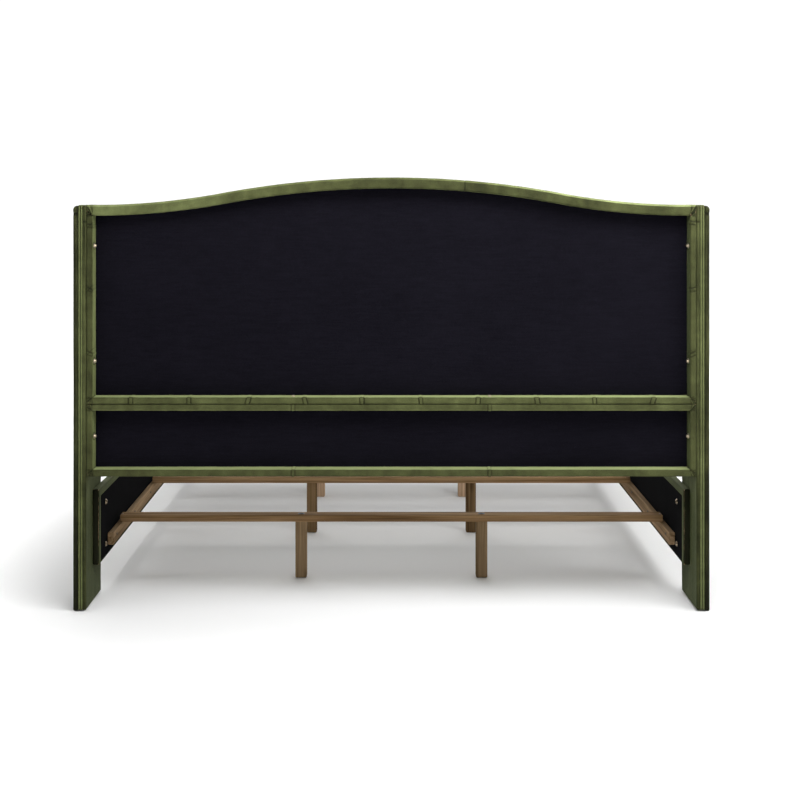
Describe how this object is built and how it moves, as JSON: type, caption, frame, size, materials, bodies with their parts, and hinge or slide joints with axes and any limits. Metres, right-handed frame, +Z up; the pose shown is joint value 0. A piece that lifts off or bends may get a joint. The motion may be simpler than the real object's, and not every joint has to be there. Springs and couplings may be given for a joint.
{
  "type": "upholstered headboard bed",
  "caption": "Upholstered king bed with an arched buttoned headboard between two wing panels, low padded side rails and footboard, and cross slats on legs.",
  "frame": {"origin": "on the floor, under the middle of the whole bed", "axes": "+Z up, +Y towards the headboard along the bed's length, +X to the right of a person who stands at the foot end and looks at the headboard"},
  "size_m": [2.083, 2.2092, 1.422],
  "materials": {
    "velvet": "olive-green velvet with a soft nap",
    "black_cambric": "thin black non-woven dust cover",
    "foam": "upholstery foam and wadding",
    "frame_wood": "plain sawn frame timber",
    "plywood": "unfinished plywood",
    "slat_wood": "brown stained pine, satin",
    "leg_wood": "brown stained pine, satin",
    "ledger_wood": "brown stained pine, satin",
    "dark_wood": "dark stained hardwood, satin",
    "brass_fasteners": "yellow zinc plated",
    "steel_fasteners": "black oxide steel",
    "glide_plastic": "black moulded plastic"
  },
  "bodies": {
    "root": {"footboard_board": "plywood", "footboard_bolts": "steel_fasteners", "footboard_brackets": "steel_fasteners", "footboard_cover": "velvet", "footboard_dowels": "frame_wood", "footboard_dust_cover": "black_cambric", "footboard_feet": "dark_wood", "footboard_pad": "foam", "headboard_screws": "brass_fasteners", "ledger_screws": "steel_fasteners", "leg_bolts": "steel_fasteners", "legs_foot": "leg_wood", "legs_head": "leg_wood", "legs_middle": "leg_wood", "lower_backing_panel": "plywood", "lower_bottom_rail": "frame_wood", "lower_cover": "velvet", "lower_dust_cover": "black_cambric", "lower_pad": "foam", "lower_stile_left": "frame_wood", "lower_stile_right": "frame_wood", "lower_top_rail": "frame_wood", "rail_bolts": "brass_fasteners", "rail_inserts": "steel_fasteners", "rail_left_board": "frame_wood", "rail_left_cover": "velvet", "rail_left_dust_cover": "black_cambric", "rail_left_ledger": "ledger_wood", "rail_left_wadding": "foam", "rail_right_board": "frame_wood", "rail_right_cover": "velvet", "rail_right_dust_cover": "black_cambric", "rail_right_ledger": "ledger_wood", "rail_right_wadding": "foam", "slat_foot": "slat_wood", "slat_head": "slat_wood", "slat_middle": "slat_wood", "slat_screws": "steel_fasteners", "upper_arch_rail": "frame_wood", "upper_backing_panel": "plywood", "upper_bottom_rail": "frame_wood", "upper_buttons": "velvet", "upper_cover": "velvet", "upper_dust_cover": "black_cambric", "upper_pad": "foam", "upper_stile_left": "frame_wood", "upper_stile_right": "frame_wood", "wing_glides": "glide_plastic", "wing_left_cover": "velvet", "wing_left_cross_rails": "frame_wood", "wing_left_front_post": "frame_wood", "wing_left_padding": "foam", "wing_left_rear_post": "frame_wood", "wing_left_welt": "velvet", "wing_right_cover": "velvet", "wing_right_cross_rails": "frame_wood", "wing_right_front_post": "frame_wood", "wing_right_padding": "foam", "wing_right_rear_post": "frame_wood", "wing_right_welt": "velvet"}
  },
  "joints": []
}
